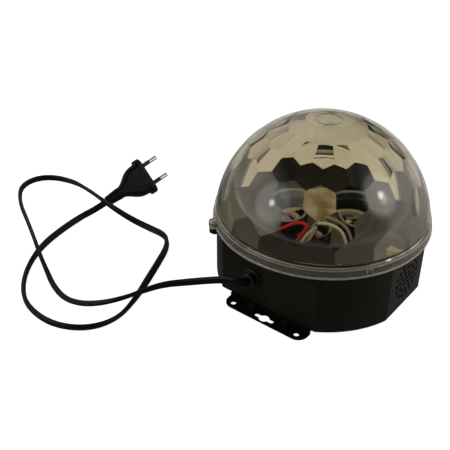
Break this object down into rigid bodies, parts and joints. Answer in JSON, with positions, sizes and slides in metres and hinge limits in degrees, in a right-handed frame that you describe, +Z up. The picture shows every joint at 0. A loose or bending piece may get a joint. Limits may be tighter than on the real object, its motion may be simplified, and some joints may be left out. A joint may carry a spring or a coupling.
{
  "type": "led disco bulb",
  "caption": "Effect light: clear faceted dome over a round black base with side speakers, a flat wall bracket and a flat mains cord with a two-pin plug.",
  "frame": {"origin": "the dome's axis at the surface that the rubber feet stand on", "axes": "+Z up along the dome's axis, +Y towards the keys and sockets, -Y towards the cord and bracket, +X and -X towards the speakers"},
  "size_m": [0.3744, 0.2605, 0.1335],
  "materials": {
    "case_plastic": "moulded black, satin",
    "clear_plastic": "clear, smoke tinted, smooth outside",
    "zinc_steel": "zinc plated",
    "black_rubber": "matt",
    "bracket_paint": "black, satin",
    "deck_plastic": "dark grey, matt",
    "sink_aluminium": "as extruded",
    "brass_turned": "turned",
    "board_white": "white solder mask",
    "board_green": "green solder mask",
    "light_red": "clear lens, red light",
    "light_green": "clear lens, green light",
    "light_blue": "clear lens, blue light",
    "light_white": "clear lens, white light",
    "light_amber": "clear lens, amber light",
    "light_purple": "clear lens, purple light",
    "motor_steel": "drawn steel",
    "spindle_plastic": "black, matt",
    "lens_plastic": "pearly, polished, many flat sides",
    "cup_plastic": "black, with a silvered rim and a cream bezel",
    "speaker_steel": "black pressed steel",
    "speaker_paper": "coated paper",
    "ferrite": "dark ferrite",
    "transformer_tape": "wound coil under yellow tape, ferrite core",
    "capacitor_sleeve": "can in a dark sleeve",
    "connector_nylon": "natural nylon",
    "terminal_plastic": "green, matt",
    "wire_red_pvc": "satin",
    "wire_black_pvc": "satin",
    "wire_white_pvc": "satin",
    "wire_grey_pvc": "satin",
    "key_plastic": "black, matt",
    "switch_plastic": "black, matt",
    "socket_steel": "nickel plated",
    "window_plastic": "dark red, clear",
    "cord_rubber": "flat two-core cord, satin",
    "plug_rubber": "moulded black, satin",
    "sleeve_plastic": "black, matt",
    "pin_nickel": "nickel plated brass"
  },
  "bodies": {
    "case": {"housing": "case_plastic", "dome_cover": "clear_plastic", "dome_screws": "zinc_steel", "rubber_feet": "black_rubber", "wall_bracket": "bracket_paint", "bracket_screws": "zinc_steel", "inner_deck": "deck_plastic", "deck_screws": "zinc_steel", "heat_sink": "sink_aluminium", "spindle_bush": "brass_turned", "led_board": "board_white", "led_red": "light_red", "led_green": "light_green", "led_blue": "light_blue", "led_white": "light_white", "led_amber": "light_amber", "led_purple": "light_purple", "light_unit_posts": "brass_turned", "led_board_screws": "zinc_steel", "motor": "motor_steel", "motor_screws": "zinc_steel", "light_cups": "cup_plastic", "speaker_frame_right": "speaker_steel", "speaker_cone_right": "speaker_paper", "speaker_magnet_right": "ferrite", "speaker_frame_left": "speaker_steel", "speaker_cone_left": "speaker_paper", "speaker_magnet_left": "ferrite", "speaker_screws": "zinc_steel", "speaker_connector": "connector_nylon", "power_board": "board_green", "power_board_screws": "zinc_steel", "transformer": "transformer_tape", "capacitor": "capacitor_sleeve", "terminal_block": "terminal_plastic", "mains_leads": "wire_black_pvc", "control_board": "board_green", "control_board_screws": "zinc_steel", "key_switches": "switch_plastic", "usb_socket": "socket_steel", "card_slot": "socket_steel", "signal_window": "window_plastic", "strain_relief": "black_rubber", "mains_cord": "cord_rubber", "plug_body": "plug_rubber", "plug_pins": "pin_nickel", "plug_sleeves": "sleeve_plastic", "wire_connector": "connector_nylon", "wire_red": "wire_red_pvc", "wire_black": "wire_black_pvc", "wire_white": "wire_white_pvc", "wire_grey": "wire_grey_pvc"},
    "rotor": {"motor_shaft": "motor_steel", "spindle": "spindle_plastic", "turning_lens": "lens_plastic"},
    "key_mode": {"key_mode": "key_plastic"},
    "key_previous": {"key_previous": "key_plastic"},
    "key_play": {"key_play": "key_plastic"},
    "key_next": {"key_next": "key_plastic"}
  },
  "joints": [
    {"name": "lens_spin", "type": "hinge", "parent": "case", "child": "rotor", "pos_m": [0, 0, 0.056], "axis": [0, 0, 1], "continuous": true},
    {"name": "key_mode_press", "type": "slide", "parent": "case", "child": "key_mode", "axis": [0, -1, 0], "range_m": [0, 0.001], "stiffness_N_per_m": 600},
    {"name": "key_previous_press", "type": "slide", "parent": "case", "child": "key_previous", "axis": [0, -1, 0], "range_m": [0, 0.001], "stiffness_N_per_m": 600},
    {"name": "key_play_press", "type": "slide", "parent": "case", "child": "key_play", "axis": [0, -1, 0], "range_m": [0, 0.001], "stiffness_N_per_m": 600},
    {"name": "key_next_press", "type": "slide", "parent": "case", "child": "key_next", "axis": [0, -1, 0], "range_m": [0, 0.001], "stiffness_N_per_m": 600}
  ]
}
